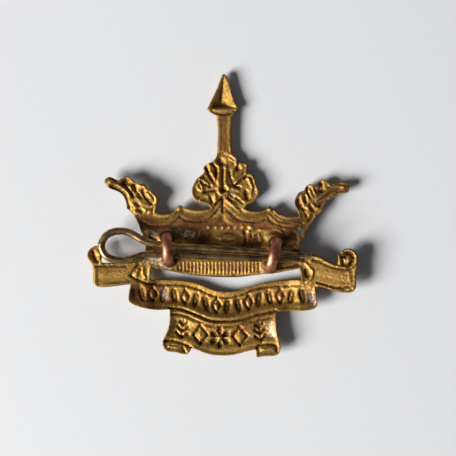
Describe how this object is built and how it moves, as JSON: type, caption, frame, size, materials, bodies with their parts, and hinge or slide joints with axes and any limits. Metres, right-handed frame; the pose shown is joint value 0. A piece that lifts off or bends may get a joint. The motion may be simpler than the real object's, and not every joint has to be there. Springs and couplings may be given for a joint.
{
  "type": "cap badge",
  "caption": "Die-struck brass cap badge in the form of a crown with a spear, a scroll and a plaque, with two wire lugs on its back and a split pin that slides through them.",
  "frame": {"origin": "under the middle of the badge's box, on the surface that it lies on with its face down", "axes": "+Z out of the badge's back; +Y towards the tip of the spear; +X to the right of someone who looks at the back"},
  "size_m": [0.046, 0.0483, 0.0075],
  "materials": {
    "struck_brass": "aged struck brass, granular, toned brown in the hollows and rubbed bright on the edges",
    "lug_copper": "smooth red copper wire, worn",
    "braze": "dull silver-brown solder",
    "pin_brass": "dark drawn brass wire, semi-gloss"
  },
  "bodies": {
    "badge": {"badge_plate": "struck_brass", "left_lug": "lug_copper", "right_lug": "lug_copper", "left_lug_upper_braze": "braze", "left_lug_lower_braze": "braze", "right_lug_upper_braze": "braze", "right_lug_lower_braze": "braze"},
    "pin": {"cotter_pin": "pin_brass"}
  },
  "joints": [
    {"name": "pin_slide", "type": "slide", "parent": "badge", "child": "pin", "axis": [-0.9984, 0.0567, 0], "range_m": [0, 0.027]}
  ]
}
